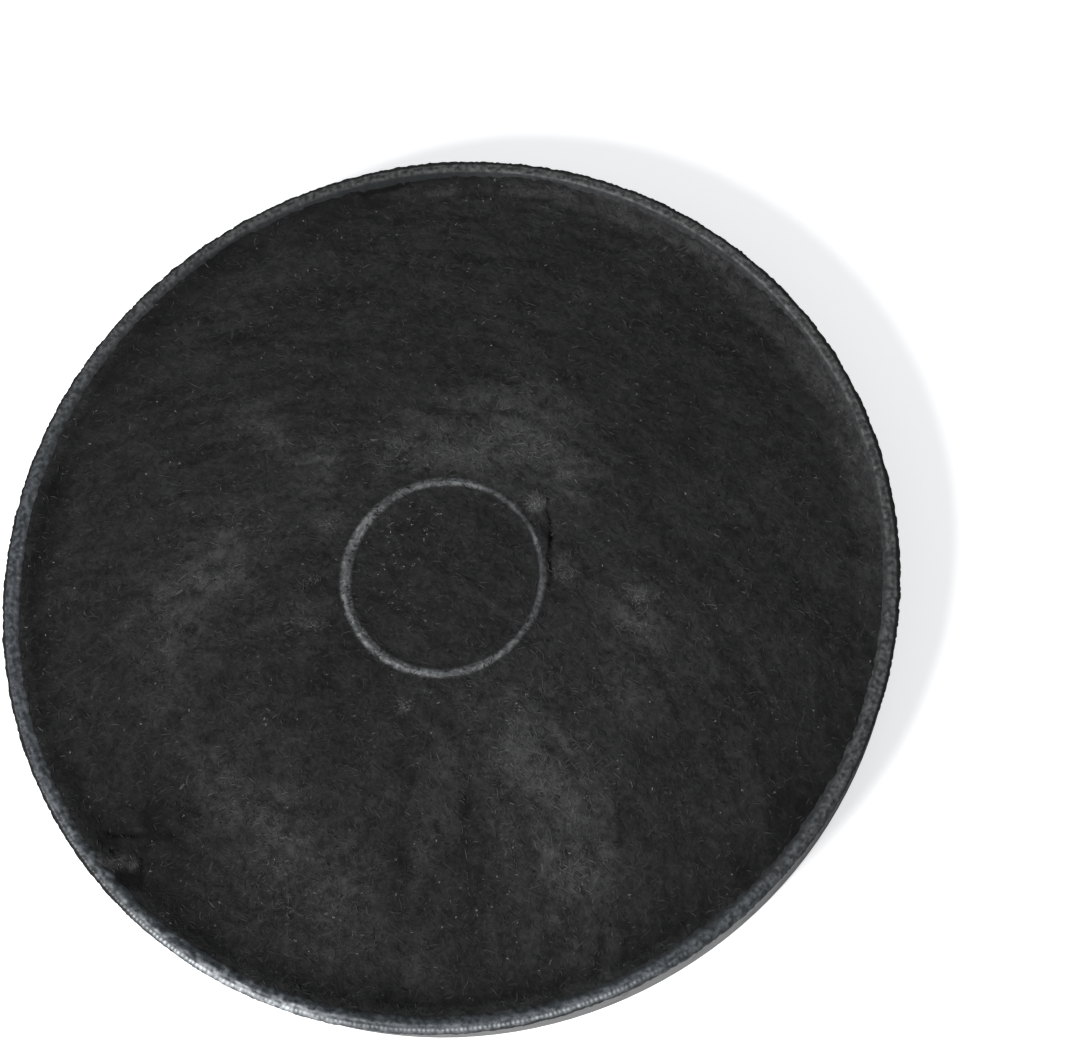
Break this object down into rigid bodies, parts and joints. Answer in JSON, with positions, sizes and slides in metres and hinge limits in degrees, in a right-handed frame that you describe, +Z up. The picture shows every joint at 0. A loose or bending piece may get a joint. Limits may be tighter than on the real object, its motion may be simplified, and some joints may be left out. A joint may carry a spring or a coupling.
{
  "type": "cooker hood carbon filter",
  "caption": "Round carbon filter for a cooker hood: a moulded tray of carbon granules under a welded felt face, with a grille floor and a bayonet hub.",
  "frame": {"origin": "middle of the underside, on the filter's axis", "axes": "+Z up the filter's axis, from the grille to the felt face; +X through one of the bayonet notches"},
  "size_m": [0.24, 0.24, 0.022],
  "materials": {
    "tray_plastic": "satin",
    "face_felt": "matte",
    "carbon_granules": "matte",
    "base_felt": "matte"
  },
  "bodies": {
    "root": {"housing": "tray_plastic", "face_fleece": "face_felt", "carbon_bed": "carbon_granules", "base_fleece": "base_felt"}
  },
  "joints": []
}
